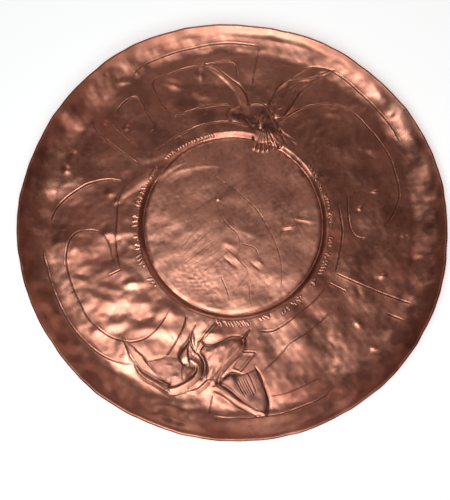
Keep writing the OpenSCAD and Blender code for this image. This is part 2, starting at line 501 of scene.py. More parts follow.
print("chased lines")
flangeLines = [
    [(-110, 149), (-109, 156), (-101, 164), (-90, 170), (-70, 179), (-50, 185), (-30, 190), (-9, 192),
     (19, 190)],
    [(19, 190), (17, 178), (14, 162), (13, 148)],
    [(-69, 110), (-82, 128), (-89, 140), (-89, 147), (-82, 152), (-60, 162), (-41, 167), (-28, 170),
     (-16, 172), (-8, 170), (-4, 163), (-3, 152)],
    [(-69, 110), (-58, 115), (-45, 120), (-25, 125), (-8, 127)],
    [(-84, 71), (-75, 80), (-66, 88), (-53, 96), (-39, 103), (-19, 108), (-1, 108)],
    [(-150, 106), (-148, 98), (-141, 89), (-131, 81), (-118, 72), (-100, 60)],
    [(-129, 101), (-115, 89), (-100, 77)],
    [(-126, 112), (-119, 123), (-109, 130), (-102, 127), (-95, 115), (-86, 101), (-86, 96), (-92, 92)],
    [(-113, 41), (-130, 42), (-148, 37), (-159, 30), (-169, 22), (-177, 13), (-182, 4), (-184, -5)],
    [(-116, 31), (-118, 14), (-118, -2), (-118, -20), (-115, -37), (-111, -50)],
    [(-111, -50), (-122, -56)],
    [(-118, -46), (-121, -36), (-124, -24), (-132, -14), (-141, -11), (-150, -12), (-158, -15), (-164, -24),
     (-166, -40), (-163, -55), (-158, -68), (-150, -84), (-141, -98), (-129, -109), (-116, -117),
     (-100, -121), (-90, -120), (-81, -116), (-73, -109), (-66, -99), (-61, -89), (-59, -80)],
    [(-187, -27), (-188, -38), (-184, -50), (-177, -70), (-167, -90), (-156, -107), (-144, -120),
     (-132, -130), (-120, -137), (-109, -141), (-97, -143), (-87, -142)],
    [(-43, -92), (-45, -103), (-50, -115), (-57, -128), (-62, -134)],
    [(40, 107), (46, 113), (58, 122), (70, 128), (85, 131), (97, 131), (108, 128), (120, 120), (130, 110),
     (140, 99), (149, 87), (156, 75), (161, 60), (164, 49), (165, 36), (161, 22), (156, 12), (150, 3)],
    [(133, -7), (126, -7), (120, -3), (116, 6), (114, 20), (113, 37)],
    [(95, 166), (107, 158), (119, 148), (134, 134), (147, 120), (157, 108), (162, 99), (166, 92)],
    [(104, 27), (107, 12), (109, -2), (107, -22), (103, -44)],
    [(103, -44), (127, -54), (154, -64), (179, -72)],
    [(97, -54), (114, -62)],
    [(154, -82), (172, -89)],
    [(95, -56), (90, -64), (82, -73), (73, -81), (63, -90), (53, -98), (42, -104), (29, -105)],
    [(101, -81), (92, -90), (78, -103), (68, -110), (60, -116), (54, -124), (45, -134), (33, -145)],
    [(42, -168), (55, -165), (67, -160), (80, -153), (90, -147)],
    [(-15, -189), (0, -191), (20, -190), (40, -187), (55, -184), (75, -176), (90, -169), (103, -159)],
    [(-14, -169), (-16, -189)],
]
for points in flangeLines:
    chase(points)

# fine engraving on the middle: an arc, a wavy line and a hatched corner
medallionLines = [
    [(-9, 43), (0, 37), (10, 29), (20, 20), (28, 10), (35, -2), (41, -13), (46, -25), (49, -37), (50, -49),
     (50, -62)],
    [(-11, 48), (-9, 43), (-21, 50), (-31, 54)],
    [(-17, 22), (-16, 15), (-10, 5), (-3, -2), (4, -8), (7, -17), (6, -25), (4, -31), (9, -37), (15, -43),
     (16, -48), (6, -62), (0, -70)],
    [(-10, -53), (-3, -68), (-2, -76)],
    [(18, -59), (19, -70), (21, -80)],
    [(6, -18), (14, -19), (22, -22), (26, -30), (24, -38)],
    [(4, -31), (-8, -22)],
]
hatch = [[(-18, -15), (-49, -41)], [(-13, -25), (-45, -44)], [(-32, 0), (-51, -23)],
    [(-22, -4), (-50, -32)], [(0, -22), (-32, -50)]]
hatch += [[(-52 + 6 * k, -24 - 3 * k), (-38 + 6 * k, -4 - 5 * k)] for k in range(5)]
hatch += [[(56, 18), (70, -10)], [(-40, 14), (-20, 30)], [(40, 52), (58, 34)]]
for points in medallionLines:
    chase(points, width=0.9, depth=0.14, dark=0.28)
for points in hatch:
    chase(points, width=0.8, depth=0.07, dark=0.32)

# short scratches on the middle, mostly along a few directions
rubs = np.random.default_rng(71)
for _ in range(70):
    reach, turn = 78 * math.sqrt(rubs.uniform(0, 1)), rubs.uniform(0, 2 * math.pi)
    cx, cy, run = reach * math.cos(turn), reach * math.sin(turn), rubs.uniform(3, 13)
    lean = math.radians(rubs.choice([-42, 38, 52, 8]) + rubs.uniform(-12, 12))
    dx, dy = run * math.cos(lean), run * math.sin(lean)
    chase([(cx - dx, cy - dy), (cx + dx, cy + dy)], width=0.7, depth=rubs.uniform(0.02, 0.06), fade=0.3,
        dark=rubs.uniform(0.08, 0.25))

# cloudy film on the middle, thinned at its lower left as painted light where the middle is brightest
clouds = 0.07 * softWaves(x, y, 26, 19, 1.4, 30) + 0.06 * softWaves(x, y, 9, 30)
clouds += 0.05 * softWaves(x, y, 4, 20)
# painted light: less film at the lower left of the middle
clouds -= 0.16 * np.exp(-((x + 35) ** 2 + (y + 60) ** 2) / 40**2)
relief.tarnishAndShade += inMiddle * np.clip(0.12 + clouds, 0, 0.4) * (side > 0)

print("birds")
wallTop = sheet["ringRadius"] + sheet["wallWidth"]
flangeTop = np.interp(wallTop, line[:lipIndex, 0], line[:lipIndex, 1])
# an even slope from the flange down to the middle, for the tail that lies across the wall
upSlope = np.clip((radius - 78) / 20, 0, 1)
tailGround = upSlope * flangeTop + (1 - upSlope) * (sheet["thickness"] / 2 + middleLean)
tailGround -= line[station, 1] + inMiddle * middleLean
tailGround *= radius < 100

relief.boldness = 0.6
# upper bird, right wing, lightly darkened with painted shade
raised([(29, 126), (31, 133), (36, 141), (43, 150), (50, 156), (58, 162), (67, 168), (76, 170), (86, 169),
    (95, 167), (86, 162), (77, 158), (70, 151), (62, 143), (57, 134), (52, 124), (46, 116), (38, 114),
    (33, 117)], 0.3, 4.0, 0.3, 9, dark=0.18)
valley([(30, 128), (36, 141), (43, 150), (50, 156), (58, 162), (67, 168), (76, 170), (86, 169), (94, 167)],
    [1.0, 0.9, 0.7], [0.5, 0.45, 0.3])
valley([(50, 156), (60, 157), (72, 159), (80, 162), (90, 166), (96, 167)], [0.9, 0.8], [0.45, 0.4])
valley([(95, 166), (86, 161), (78, 157), (70, 150), (63, 143), (58, 135), (53, 126), (47, 117)],
    [0.7, 1.2, 1.4, 1.0], [0.3, 0.4, 0.6, 0.5])
ridge([(62, 155), (74, 158), (84, 162), (92, 166)], [1.6, 2.4, 0.8], [0.4, 0.9, 0.4], facet=True)
feathers = np.random.default_rng(51)
for _ in range(40):
    u, across = feathers.uniform(), feathers.uniform(-1, 1)
    px, py = 38 + 36 * u + 5 * across, 127 + 29 * u - 7 * across * (1 - 0.5 * u)
    bump(px, py, feathers.uniform(1.6, 3.4), feathers.uniform(0.9, 1.4), 40, feathers.uniform(-0.3, 0.4))
bump(46, 147, 3.0, 1.8, 40, 0.5)
# body and head, darkened all over with painted shade
raised([(-8, 121), (-2, 125), (8, 127), (20, 128), (27, 127), (31, 122), (35, 114), (39, 106), (40, 99),
    (34, 96), (24, 97), (17, 100), (12, 105), (5, 108), (-2, 109), (-8, 113)], 0.0, 3.0, 0.5, 13, dark=0.62)
for _ in range(26):
    bump(4 + 30 * feathers.uniform(), 102 + 22 * feathers.uniform(), feathers.uniform(1.3, 2.6), 1.2, 110,
        feathers.uniform(-0.3, 0.35))
bump(-3, 117, 4.6, 4.2, 20, 0.9)
bump(23, 106, 7.0, 7.0, 0, 0.8)
ridge([(22, 110), (23, 107), (23, 104)], [2.6, 4.4, 2.6], [0.9, 1.9, 0.9])
valley([(27, 127), (31, 122), (35, 115), (39, 107), (44, 98)], [1.2, 1.8, 1.8, 1.0], [0.8, 1.2, 1.2, 0.6],
    dark=0.75)
valley([(9, 128), (18, 130), (27, 128)], [0.9, 0.9], [0.5, 0.4])
valley([(-10, 122), (-12, 116), (-8, 110), (0, 107), (8, 105)], [1.0, 1.2], [0.5, 0.5], dark=0.5)
valley([(2, 113), (9, 109), (15, 101)], [2.4, 2.4], [0.6, 0.6], dark=0.7)
ridge([(32, 118), (37, 116), (43, 116)], [1.0, 2.4, 0.6], [0.5, 1.3, 0.3], facet=True)
for ax, ay in ((4, 121), (12, 119), (18, 124), (10, 113), (27, 116)):
    bump(ax, ay, 3.0, 2.0, -30, feathers.uniform(-0.3, 0.3))
# left wing
ridge([(-38, 168), (-28, 162), (-18, 156), (-9, 149), (-3, 143), (2, 134), (6, 125), (9, 118)],
    [0.9, 1.8, 2.8, 3.8, 4.4, 4.4, 3.6], [0.4, 0.7, 0.9, 1.0, 1.1, 1.0, 0.6], sharp=1.0)
valley([(-37, 169), (-25, 164), (-11, 154), (-1, 148), (6, 138), (10, 127)], [0.7, 1.0, 1.3, 1.3],
    [0.4, 0.6, 0.9, 0.9], dark=0.7)
for ax, ay in ((-4, 146), (-5, 142), (-1, 139)):
    bump(ax, ay, 1.8, 0.9, 50, -0.2)
# tail fan, each feather a rib with a rounded tip
relief.boldness = 0.8
raised([(17, 102), (14, 94), (15, 88), (20, 86), (27, 86), (35, 87), (42, 89), (46, 92), (42, 100)], 0.1,
    4.5, 0.2, 6, follow=tailGround)
tail = {"root": (27, 108), "tips": [(17.5, 82), (22, 80.5), (26.5, 80), (31, 81), (37, 83), (43.5, 84)]}
for tip in tail["tips"]:
    start = tuple(r + (t - r) * 0.22 for r, t in zip(tail["root"], tip))
    ridge([start, (tip[0], tip[1] + 1)], [0.8, 1.4, 2.0], [0.1, 0.4, 0.8], smooth=False, sharp=1.0)
    bump(tip[0], tip[1], 1.7, 2.3, 0, 1.1)
for first, second in zip(tail["tips"][:-1], tail["tips"][1:]):
    between = ((first[0] + second[0]) / 2, (first[1] + second[1]) / 2 + 1)
    start = tuple(r + (t - r) * 0.3 for r, t in zip(tail["root"], between))
    valley([start, between], [0.7, 1.0], [0.3, 0.4], smooth=False, dark=0.65)
for end in ((60, 86), (58, 91), (52, 83)):
    valley([(42, 101), end], [1.2, 0.7], [0.5, 0.2], smooth=False, dark=0.8)

relief.boldness = 0.6
# lower bird, left wing: a spear of long feathers, then the folded wing behind it
ridge([(-107, -115), (-101, -121), (-94, -127), (-87, -133), (-80, -141), (-72, -150)],
    [0.6, 2.4, 4.6, 5.4, 5.0, 2.0], [0.3, 1.1, 1.6, 1.5, 1.0, 0.2], lean=-0.75, facet=True)
valley([(-106, -116), (-100, -122), (-94, -128), (-88, -131), (-83, -135), (-79, -140), (-71, -149)],
    [0.7, 0.9, 1.1, 0.9], [0.3, 0.6, 0.6, 0.4], dark=0.7)
valley([(-106, -117), (-101, -127), (-97, -137), (-91, -142)], [0.6, 0.8], [0.3, 0.4])
for k in range(5):
    chase([(-96 + 2.3 * k, -133 - 0.3 * k), (-84 + 2.3 * k, -148 + 0.5 * k)], 1.0, 0.35, dark=0.5)
valley([(-92, -141), (-84, -148), (-74, -154), (-64, -159), (-58, -162)], [1.2, 1.6, 2.2], [0.5, 0.8, 1.1],
    dark=0.75)
ridge([(-91, -142), (-86, -150), (-80, -155), (-70, -160), (-62, -165), (-56, -168)], [1.2, 1.5, 1.6, 2.0],
    [0.5, 0.8, 0.9, 1.1], lean=-0.3, facet=True)
for ax, ay in ((-89, -145), (-86, -149), (-83, -153), (-79, -156), (-75, -157), (-71, -160)):
    bump(ax, ay, 1.3, 1.1, -40, 0.45)
valley([(-93, -143), (-88, -152), (-80, -158), (-70, -163), (-62, -168), (-55, -171), (-46, -169),
    (-37, -166)], [0.6, 0.8, 0.9, 0.8], [0.3, 0.5, 0.6, 0.4])
# the folded wing, darkened all over with painted shade
raised([(-80, -140), (-73, -138), (-67, -136), (-60, -134), (-52, -134), (-44, -137), (-38, -141),
    (-32, -145), (-36, -152), (-44, -158), (-54, -161), (-64, -158), (-72, -152)], 0.15, 3.0, 0.35, 9,
    dark=0.66)
for _ in range(22):
    bump(-74 + 30 * feathers.uniform(), -154 + 16 * feathers.uniform(), feathers.uniform(1.4, 3.0), 1.2,
        -10, feathers.uniform(-0.12, 0.18))
valley([(-80, -139), (-74, -138), (-67, -136), (-62, -134)], [0.8, 0.8], [0.35, 0.35])
valley([(-43, -140), (-44, -147), (-43, -155)], [0.8, 0.9], [0.35, 0.3])
ridge([(-60, -166), (-50, -164), (-41, -160), (-33, -154), (-29, -147), (-30, -139)],
    [1.4, 4.8, 4.6, 4.6, 3.8, 1.6], [0.6, 1.4, 1.5, 1.6, 1.4, 0.5], lean=-0.45, facet=True)
valley([(-68, -157), (-60, -161), (-52, -162), (-45, -159), (-38, -154), (-33, -148), (-31, -142)],
    [1.0, 2.0, 2.2, 1.4, 2.0, 1.0], [0.6, 1.3, 1.3, 0.8, 1.3, 0.4], dark=0.75)
ridge([(-37, -136), (-32, -139), (-30, -142)], [0.8, 1.4, 0.6], [0.4, 0.8, 0.3], facet=True)
valley([(-37, -163), (-31, -159), (-26, -153)], [0.6, 0.9], [0.5, 0.6], dark=0.8)
ridge([(-37, -167), (-29, -165), (-23, -160), (-19, -156), (-14, -155)], [1.2, 3.2, 2.8, 3.0, 1.2],
    [0.5, 1.4, 1.2, 1.5, 0.5], lean=-0.5, facet=True)
# standing feathers above the folded wing
ridge([(-39, -119), (-41, -127), (-40, -134), (-38, -141)], [0.8, 3.0, 3.6, 1.4], [0.4, 1.2, 1.3, 0.4],
    lean=-0.6, facet=True)
valley([(-34, -101), (-37, -109), (-40, -118), (-45, -125), (-48, -131), (-47, -136), (-43, -141)],
    [0.6, 0.8, 1.8, 1.8, 1.2, 0.9], [0.3, 0.5, 1.1, 1.2, 0.8, 0.4], dark=0.8)
valley([(-35, -131), (-38, -136), (-40, -140)], [0.7, 0.7], [0.4, 0.4])
ridge([(-36, -109), (-36, -116), (-34, -123)], [1.2, 3.0, 1.4], [0.3, 0.9, 0.3], facet=True)
valley([(-38, -117), (-36, -123), (-32, -128)], [0.9, 1.1], [0.5, 0.6], dark=0.8)
ridge([(-24, -115), (-27, -120), (-30, -126)], [1.4, 3.2, 1.6], [0.5, 1.2, 0.5], lean=-0.4, facet=True)
bump(-18, -110, 7.0, 3.4, 8, 1.1)
chase([(-13, -97), (-22, -107), (-29, -118)], 0.9, 0.3)
chase([(-10, -98), (-18, -107), (-24, -114)], 0.9, 0.3)
# body, head, beak and tail; the body and the sunk tail are darkened with painted shade
raised([(12, -112), (5, -112), (-2, -114), (-10, -117), (-18, -120), (-25, -121), (-29, -127), (-25, -133),
    (-22, -140), (-21, -147), (-22, -155), (-17, -157), (-12, -152), (-7, -145), (-1, -138), (6, -131),
    (12, -124), (14, -118)], 0.4, 2.6, 1.3, 12, dark=0.42)
bump(9, -117, 5.0, 3.6, 25, 0.6)
for ax, ay, tall in ((-12, -124, 0.5), (-4, -121, 0.5), (-16, -133, 0.5), (-8, -134, 0.4), (1, -125, 0.4),
        (-15, -144, 0.4), (-20, -128, 0.4)):
    bump(ax, ay, 4.0, 2.2, 50, tall)
valley([(-26, -116), (-24, -119), (-17, -120), (-9, -117), (0, -112), (8, -111), (13, -112)],
    [1.4, 1.3, 1.1, 0.9], [0.7, 0.9, 0.7, 0.5], dark=0.7)
valley([(-30, -129), (-26, -133), (-23, -140), (-23, -147), (-25, -154)], [1.2, 1.8, 1.8, 1.2],
    [0.6, 1.0, 1.0, 0.6], dark=0.75)
valley([(16, -113), (17, -119), (15, -125), (9, -131), (2, -138), (-4, -145), (-8, -152), (-9, -157)],
    [1.2, 1.6, 1.1, 1.4, 2.6], [0.7, 1.0, 0.6, 0.8, 1.0], dark=0.75)
ridge([(13, -120), (8, -127), (1, -134), (-5, -141)], [0.8, 1.2, 0.8], [0.2, 0.6, 0.3])
raised([(12, -113), (20, -104), (17, -112), (15, -117)], 0.9, 1.2, 0.3, 3, smooth=False)
valley([(10, -111), (20, -103)], [0.6, 0.5], [0.5, 0.3], smooth=False)
valley([(21, -104), (17, -113), (16, -118)], [0.5, 0.9], [0.3, 0.5])
raised([(13, -127), (26, -127), (12, -146), (4, -143), (7, -136)], -0.5, 2.0, 0, 5, smooth=False, dark=0.55)
chase([(14, -126), (27, -126)], 1.2, 0.4, smooth=False, dark=0.85)
chase([(27, -126), (19, -137), (12, -146)], 1.2, 0.4, smooth=False, dark=0.85)
# right wing, darkened all over with painted shade
raised([(-9, -159), (-5, -154), (0, -149), (5, -147), (11, -148), (17, -147), (23, -144), (28, -142),
    (32, -148), (36, -158), (40, -168), (41, -177), (38, -186), (28, -183), (20, -179), (10, -174),
    (4, -169), (-4, -164)], 0.3, 2.0, 0.6, 10, dark=0.74)
bump(4, -153, 6.0, 5.0, 20, 0.8)
valley([(-4, -152), (0, -148), (5, -146), (11, -147)], [1.2, 1.0], [0.7, 0.5], dark=0.7)
valley([(27, -141), (32, -148), (36, -158), (40, -168), (42, -177), (40, -186)], [0.8, 1.0, 1.0],
    [0.5, 0.7, 0.6], dark=0.7)
valley([(-9, -157), (2, -163), (12, -171), (22, -178), (31, -183)], [1.6, 2.0, 1.8, 1.0],
    [0.8, 1.1, 1.0, 0.5], dark=0.75)
ridge([(-12, -161), (-4, -164), (4, -168), (10, -173), (20, -178), (28, -182), (37, -185)],
    [1.4, 3.0, 3.2, 2.8, 1.6], [0.8, 1.4, 1.5, 1.2, 0.7], lean=-0.55, facet=True)
valley([(-12, -165), (-4, -169), (4, -174), (12, -179), (22, -184), (30, -188)], [0.7, 1.0, 0.8],
    [0.5, 0.8, 0.5], dark=0.7)
for k in range(8):
    u = k / 7
    chase([(19 + 9 * u, -145 + 1 * u), (24 + 8 * u, -154 + 2 * u), (29 + 7 * u, -165 + 2 * u)], 0.9, 0.40,
        fade=0.2, dark=0.65)
for k in range(5):
    u = k / 4
    chase([(8 + 9 * u, -152 + 3 * u), (13 + 9 * u, -161 + 2 * u), (19 + 9 * u, -170 + 1 * u)], 1.0, 0.16,
        fade=0.35, dark=0.3)

relief.boldness = 1.0
print("ring marks")
# small marks struck round the ring in uneven groups: (from, to in degrees, pitch in mm, inner radius,
# outer radius, lean)
markGroups = [
    (33, 40, 3.2, 96.0, 98.5, 0.0), (24, 32, 3.6, 94.5, 97.0, 0.5), (12, 21, 3.4, 96.5, 99.5, -0.6),
    (2, 9, 3.0, 97.0, 100.5, 0.4), (-10, -4, 3.4, 97.5, 101.0, 0.0), (-27, -14, 3.0, 97.0, 101.5, 0.5),
    (-36, -31, 3.2, 97.0, 100.5, -0.5), (-50, -43, 2.8, 96.5, 101.5, 0.6),
    (-58, -53, 3.2, 97.5, 101.0, -0.4), (-71, -65, 3.6, 96.0, 99.0, 0.6), (-96, -78, 2.6, 95.0, 100.5, 0.9),
    (105, 117, 2.4, 91.5, 94.5, 0.3), (118, 128, 2.8, 92.5, 95.5, -0.4), (131, 139, 3.4, 93.0, 96.5, 0.5),
    (146, 151, 3.0, 94.0, 97.0, 0.0), (155, 163, 3.0, 93.5, 98.5, 0.6), (166, 174, 3.2, 93.5, 99.5, -0.3),
    (177, 186, 3.4, 93.5, 100.0, 0.4), (190, 197, 3.2, 94.0, 99.5, 0.0), (201, 208, 3.4, 95.5, 100.5, 0.5),
    (216, 221, 3.4, 96.0, 100.5, -0.5),
]
draw = np.random.default_rng(61)


def struckMark(inner, outer, turn, lean, tall):
    ends = []
    for r, degree in ((inner, turn - lean), (outer, turn + lean)):
        px, py = handWarp(np.array([r]), np.radians([degree]))
        ends.append((px[0], py[0]))
    middle = tuple((a + b) / 2 for a, b in zip(*ends))
    chase(ends, 2.6, 0.10, fade=0, smooth=False, lip=0, dark=0.35)
    ridge([ends[0], middle, ends[1]], [0.7, 0.8, 0.7], [tall, tall * 1.2, tall * 0.8], smooth=False,
        sharp=1.2)


for start, stop, pitch, inner, outer, lean in markGroups:
    turn = start
    while turn < stop:
        kind = draw.choice(["stroke", "dot", "fork"], p=[0.55, 0.2, 0.25])
        tall = draw.uniform(0.40, 0.70)
        if kind == "dot":
            struckMark(inner + 1.0, inner + 1.8, turn, 0, tall)
        elif kind == "fork":
            struckMark(inner, outer, turn, lean + 0.5, tall)
            struckMark(inner, outer, turn + 0.9, lean - 0.9, tall)
            turn += 0.9
        else:
            struckMark(inner + draw.uniform(0, 1), outer, turn, lean, tall)
        turn += math.degrees(pitch / inner) * draw.uniform(0.75, 1.3)

print("building the sheet's mesh")
height = relief.height * fadeOut
base = line[station]
away = normal[station]
offset = np.where(side == 0, 0, side * half) + height * np.where(onRoll, 0, 1)
out = base[:, 0] + away[:, 0] * offset
x, y = handWarp(out, angle)
z = base[:, 1] + away[:, 1] * offset + edgeLift(radius, angle)
z = np.where(side < 0, np.maximum(z, 0.0), np.maximum(z, sheet["lowestTop"]))
z[radius <= 0] = z[[0, -1]]


def stitchRings():
    # faces between each ring and the next, halving or doubling the points where the count changes
    quads, triangles = [], []
    for (first, firstCount), (second, secondCount) in zip(spans[:-1], spans[1:]):
        if firstCount == 1:
            k = np.arange(secondCount)
            n = (k + 1) % secondCount
            triangles.append(np.stack([np.full(secondCount, first), second + k, second + n], 1))
        elif secondCount == 1:
            k = np.arange(firstCount)
            n = (k + 1) % firstCount
            triangles.append(np.stack([first + k, np.full(firstCount, second), first + n], 1))
        elif firstCount == secondCount:
            k = np.arange(firstCount)
            n = (k + 1) % firstCount
            quads.append(np.stack([first + k, second + k, second + n, first + n], 1))
        elif secondCount == 2 * firstCount:
            k = np.arange(firstCount)
            a, b = first + k, first + (k + 1) % firstCount
            c, d, e = second + 2 * k, second + 2 * k + 1, second + (2 * k + 2) % secondCount
            triangles += [np.stack([a, c, d], 1), np.stack([a, d, b], 1), np.stack([b, d, e], 1)]
        else:
            k = np.arange(secondCount)
            a, b = second + k, second + (k + 1) % secondCount
            c, d, e = first + 2 * k, first + 2 * k + 1, first + (2 * k + 2) % firstCount
            triangles += [np.stack([c, a, d], 1), np.stack([d, a, b], 1), np.stack([d, b, e], 1)]
    return np.concatenate(quads), np.concatenate(triangles)


def meshFromArrays(name, points, quads, triangles):
    mesh = bpy.data.meshes.new(name)
    mesh.vertices.add(len(points))
    mesh.vertices.foreach_set("co", np.ascontiguousarray(points, np.float32).ravel())
    corners = np.concatenate([quads.ravel(), triangles.ravel()]).astype(np.int32)
    triangleStarts = len(quads) * 4 + np.arange(len(triangles)) * 3
    faceStarts = np.concatenate([np.arange(len(quads)) * 4, triangleStarts])
    mesh.loops.add(len(corners))
    mesh.loops.foreach_set("vertex_index", corners)
    mesh.polygons.add(len(faceStarts))
    mesh.polygons.foreach_set("loop_start", faceStarts.astype(np.int32))
    mesh.polygons.foreach_set("use_smooth", np.ones(len(faceStarts), bool))
    mesh.update(calc_edges=True)
    return mesh, corners


spans = [(0, 1)] + [(first, count) for first, (_, _, count) in zip(starts, rings)] + [(total - 1, 1)]
quads, triangles = stitchRings()
sheetMesh, corners = meshFromArrays("hammeredSheetMesh", np.stack([x, y, z], 1) * mm, quads, triangles)

# face-up unwrap of both sides, by length along the profile: the upper face, then the underside
uvCentre, uvRadius = ((0.354, 0.354), (0.770, 0.770)), (0.350, 0.222)
runs = np.concatenate([[0], np.cumsum(np.hypot(*np.diff(line, axis=0).T))])
along = runs[station] / runs[-1]
uvPoint = []
for centre, reach in zip(uvCentre, uvRadius):
    uvX, uvY = centre[0] + reach * along * np.cos(angle), centre[1] + reach * along * np.sin(angle)
    uvPoint.append(np.stack([uvX, uvY], 1))
uvPoint[1][:, 0] = 2 * uvCentre[1][0] - uvPoint[1][:, 0]
faceSide = np.concatenate([side[quads].min(1).repeat(4), side[triangles].min(1).repeat(3)])
uv = np.where((faceSide < 0)[:, None], uvPoint[1][corners], uvPoint[0][corners])
layer = sheetMesh.uv_layers.new(name="OFBake")
layer.data.foreach_set("uv", uv.astype(np.float32).ravel())

# the middle and every raised edge are rubbed clean, and the top of the flange is lightened as painted
# light; the tarnish mask holds patina in the hollows and painted shade on the birds and the rim
wornMiddle = ease((sheet["ringRadius"] - radius) / 4) * (side > 0)
rubbed = np.clip(np.maximum(wornMiddle, relief.rubbed), 0, 1)
film = relief.tarnishAndShade * (1 - 0.8 * relief.rubbed)
for name, values in (("tarnishAndShade", film), ("rubbed", rubbed)):
    attribute = sheetMesh.attributes.new(name, "FLOAT", "POINT")
    attribute.data.foreach_set("value", values.astype(np.float32))
sheetPiece = bpy.data.objects.new("hammeredSheet", sheetMesh)
bpy.context.scene.collection.objects.link(sheetPiece)
print("sheet faces:", len(sheetMesh.polygons))


def wirePiece(around=720, turns=16):
    # the wire inside the rolled edge
    ringAngle = np.arange(around) * 2 * math.pi / around
    tubeAngle = np.arange(turns) * 2 * math.pi / turns
    ringGrid, tubeGrid = np.meshgrid(ringAngle, tubeAngle, indexing="ij")
    r = wireCentre[0] + wireThickness / 2 * np.cos(tubeGrid)
    px, py = handWarp(r, ringGrid)
    pz = wireCentre[1] + wireThickness / 2 * np.sin(tubeGrid) + edgeLift(r, ringGrid)
    i, j = np.meshgrid(np.arange(around), np.arange(turns), indexing="ij")
    a, b = i * turns + j, ((i + 1) % around) * turns + j
    c, d = ((i + 1) % around) * turns + (j + 1) % turns, i * turns + (j + 1) % turns
    faces = np.stack([a, b, c, d], -1).reshape(-1, 4)
    points = np.stack([px, py, pz], -1).reshape(-1, 3) * mm
    mesh, _ = meshFromArrays("edgeWireMesh", points, faces, np.zeros((0, 3), int))
    piece = bpy.data.objects.new("edgeWire", mesh)
    bpy.context.scene.collection.objects.link(piece)
    return piece


edgeWire = wirePiece()

# colours of the copper, and how each piece wears it
copper = {
    "clean": (0.88, 0.325, 0.212),
    "brown": (0.43, 0.100, 0.062),
    "tarnishAndShade": (0.10, 0.030, 0.024),
    "cloudScale": 16,
    "bumpDistance": 0.0002,
    "sheet": {"film": 0.80, "polish": 0.21, "grain": 0.10, "scratches": 0.04},
    "wire": {"film": 0.95, "polish": 0.32, "grain": 0.08, "scratches": 0.05},
}


def addNode(tree, kind, place, inputs=None, **settings):
    node = tree.nodes.new(kind)
    node.location = place
    for key, value in settings.items():
        setattr(node, key, value)
    for key, value in (inputs or {}).items():
        node.inputs[key].default_value = value
    return node


def addSockets(group, inputs, outputs):
    for name in inputs:
        group.interface.new_socket(name, in_out="INPUT", socket_type="NodeSocketFloat")
    for name in outputs:
        group.interface.new_socket(name, in_out="OUTPUT", socket_type="NodeSocketFloat")


def linker(tree):
    def link(source, output, target, entry):
        tree.links.new(source.outputs[output], target.inputs[entry])
    return link


def patinaGroup():
    # cloudy tone of old copper: a mask for the brown film, and a roughness
    group = bpy.data.node_groups.new("copperPatina", "ShaderNodeTree")
    addSockets(group, ("Scale", "Film", "Rubbed", "Polish"), ("Brown Mask", "Roughness"))
    start = addNode(group, "NodeGroupInput", (-900, 0))
    end = addNode(group, "NodeGroupOutput", (700, 0))
    place = addNode(group, "ShaderNodeTexCoord", (-900, 300))
    cloud = addNode(group, "ShaderNodeTexNoise", (-600, 250), {"Detail": 6, "Roughness": 0.62})
    fine = addNode(group, "ShaderNodeTexNoise", (-600, -100), {"Scale": 420, "Detail": 4})
    soft = addNode(group, "ShaderNodeMapRange", (-350, 250), {"From Min": 0.36, "From Max": 0.70})
    mask = addNode(group, "ShaderNodeMath", (-100, 250), operation="MULTIPLY")
    # Rubbed thins the brown film: wear on the middle and raised edges, and painted light on the top of the
    # flange
    cleaner = addNode(group, "ShaderNodeMath", (-350, 450), {1: -0.80, 2: 1.0}, operation="MULTIPLY_ADD")
    thin = addNode(group, "ShaderNodeMath", (100, 350), operation="MULTIPLY")
    matt = addNode(group, "ShaderNodeMath", (300, 0), {1: 0.06}, operation="MULTIPLY_ADD")
    grain = addNode(group, "ShaderNodeMath", (-350, -100), {1: 0.16}, operation="MULTIPLY_ADD")
    rough = addNode(group, "ShaderNodeMath", (100, 0), {1: 0.12}, operation="MULTIPLY_ADD")
    link = linker(group)
    link(place, "Object", cloud, "Vector")
    link(place, "Object", fine, "Vector")
    link(start, "Scale", cloud, "Scale")
    link(cloud, "Fac", soft, "Value")
    link(soft, "Result", mask, 0)
    link(start, "Film", mask, 1)
    link(fine, "Fac", grain, 0)
    link(start, "Polish", grain, 2)
    link(soft, "Result", rough, 0)
    link(grain, "Value", rough, 2)
    link(start, "Rubbed", cleaner, 0)
    link(mask, "Value", thin, 0)
    link(cleaner, "Value", thin, 1)
    link(thin, "Value", end, "Brown Mask")
    link(start, "Rubbed", matt, 0)
    link(rough, "Value", matt, 2)
    link(matt, "Value", end, "Roughness")
    return group


def grainGroup():
    # fine hammer grain and rubbing scratches, as a height
    group = bpy.data.node_groups.new("rubbedGrain", "ShaderNodeTree")
    addSockets(group, ("Grain", "Scratches"), ("Height",))
    start = addNode(group, "NodeGroupInput", (-900, 0))
    end = addNode(group, "NodeGroupOutput", (700, 0))
    place = addNode(group, "ShaderNodeTexCoord", (-900, 300))
    peen = addNode(group, "ShaderNodeTexNoise", (-400, 250), {"Scale": 260, "Detail": 5})
    amount = addNode(group, "ShaderNodeMath", (-100, 250), operation="MULTIPLY")
    turn = addNode(group, "ShaderNodeMapping", (-650, -100), {
        "Rotation": (0, 0, math.radians(38)), "Scale": (60, 900, 200)})
    scratch = addNode(group, "ShaderNodeTexNoise", (-400, -100), {"Scale": 1, "Detail": 3})
    narrow = addNode(group, "ShaderNodeMapRange", (-150, -100), {"From Min": 0.60, "From Max": 0.74})
    depth = addNode(group, "ShaderNodeMath", (100, -100), operation="MULTIPLY")
    both = addNode(group, "ShaderNodeMath", (350, 50), operation="SUBTRACT")
    link = linker(group)
    link(place, "Object", peen, "Vector")
    link(place, "Object", turn, "Vector")
    link(turn, "Vector", scratch, "Vector")
    link(peen, "Fac", amount, 0)
    link(start, "Grain", amount, 1)
    link(scratch, "Fac", narrow, "Value")
    link(narrow, "Result", depth, 0)
    link(start, "Scratches", depth, 1)
    link(amount, "Value", both, 0)
    link(depth, "Value", both, 1)
    link(both, "Value", end, "Height")
    return group


